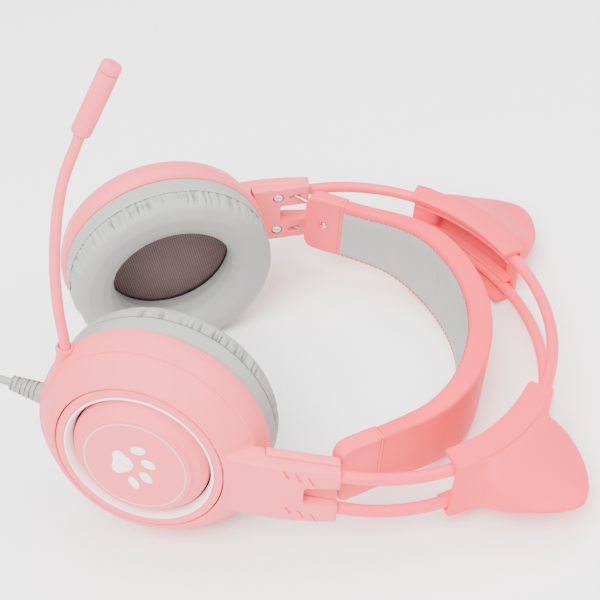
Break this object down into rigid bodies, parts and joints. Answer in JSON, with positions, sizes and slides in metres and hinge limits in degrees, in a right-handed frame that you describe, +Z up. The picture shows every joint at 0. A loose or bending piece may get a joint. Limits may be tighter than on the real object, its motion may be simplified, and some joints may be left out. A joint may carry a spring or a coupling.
{
  "type": "gaming headset",
  "caption": "Over-ear gaming headset with a tube frame, a suspended padded strap, clip-on cat ears, padded cups with a paw on the face, a bendable microphone and a cord with a jack plug.",
  "frame": {"origin": "on the table under the middle of the headset's box, measured without the cord", "axes": "+X from the cups to the crown of the frame, +Y from the wearer's left cup to the right cup, +Z up from the table; the wearer's front faces up"},
  "size_m": [0.3755, 0.1824, 0.1848],
  "materials": {
    "pink_shell": "soft satin moulded plastic",
    "ear_plastic": "satin moulded plastic",
    "pink_tube": "satin painted steel tube",
    "pink_boom": "smooth rubbery sleeve",
    "white_lens": "milky translucent plastic",
    "paw_lens": "milky translucent plastic",
    "grey_trim": "satin",
    "pink_leatherette": "fine grained leatherette",
    "grey_leatherette": "fine grained leatherette",
    "speaker_mesh": "thin woven mesh",
    "inner_plastic": "matte",
    "driver_parts": "matte",
    "circuit_board": "satin",
    "steel": "bright zinc plated",
    "grey_rubber": "matte",
    "grey_cord": "matte",
    "black_tie": "matte",
    "plug_metal": "polished"
  },
  "bodies": {
    "frame": {"left_cup_ring": "pink_shell", "left_face_bezel": "pink_shell", "left_light_ring": "white_lens", "left_disc_trim": "grey_trim", "left_face_disc": "pink_shell", "left_paw_lens": "paw_lens", "left_ear_cushion": "grey_leatherette", "left_speaker_cloth": "speaker_mesh", "left_baffle": "inner_plastic", "left_driver": "driver_parts", "left_light_board": "circuit_board", "left_outer_shell": "pink_shell", "left_arm_cover": "pink_shell", "left_arm_screws": "steel", "left_wires": "steel", "right_cup_ring": "pink_shell", "right_face_bezel": "pink_shell", "right_light_ring": "white_lens", "right_disc_trim": "grey_trim", "right_face_disc": "pink_shell", "right_paw_lens": "paw_lens", "right_ear_cushion": "grey_leatherette", "right_speaker_cloth": "speaker_mesh", "right_baffle": "inner_plastic", "right_driver": "driver_parts", "right_light_board": "circuit_board", "right_outer_shell": "pink_shell", "right_arm_cover": "pink_shell", "right_arm_screws": "steel", "right_wires": "steel", "front_tube": "pink_tube", "rear_tube": "pink_tube", "boom_collar": "pink_shell", "strain_relief": "grey_rubber", "control_board": "circuit_board", "cord": "grey_cord", "cord_coil": "grey_cord", "cord_tail": "grey_cord", "coil_tie": "black_tie", "plug_sleeve": "grey_rubber", "plug_pin": "plug_metal"},
    "headband": {"strap_cover": "pink_leatherette", "strap_pad": "grey_leatherette", "strap_core": "inner_plastic", "left_end_cap": "pink_shell", "right_end_cap": "pink_shell", "left_cap_rivet": "pink_shell", "right_cap_rivet": "pink_shell"},
    "left_ear_clip": {"left_ear": "ear_plastic"},
    "right_ear_clip": {"right_ear": "ear_plastic"},
    "lower_boom": {"boom_lower": "pink_boom"},
    "upper_boom": {"boom_upper": "pink_boom", "mic_housing": "pink_shell", "mic_end_cap": "pink_shell", "mic_element": "inner_plastic"}
  },
  "joints": [
    {"name": "headband_rise", "type": "slide", "parent": "frame", "child": "headband", "axis": [0.9799, 0, -0.1994], "range_m": [0, 0.015], "stiffness_N_per_m": 60, "deforming": ["left_wires", "right_wires"]},
    {"name": "left_ear_pull", "type": "slide", "parent": "frame", "child": "left_ear_clip", "axis": [0.6364, -0.7604, -0.1295], "range_m": [0, 0.02]},
    {"name": "right_ear_pull", "type": "slide", "parent": "frame", "child": "right_ear_clip", "axis": [0.7167, 0.682, -0.1458], "range_m": [0, 0.02]},
    {"name": "boom_root_bend", "type": "hinge", "parent": "frame", "child": "lower_boom", "pos_m": [-0.08067, -0.03971, 0.0851], "axis": [0.9799, 0, -0.1994], "range_deg": [-25, 26]},
    {"name": "boom_middle_bend", "type": "hinge", "parent": "lower_boom", "child": "upper_boom", "pos_m": [-0.07408, -0.03463, 0.12305], "axis": [0.9799, 0, -0.1994], "range_deg": [-30, 40]}
  ]
}
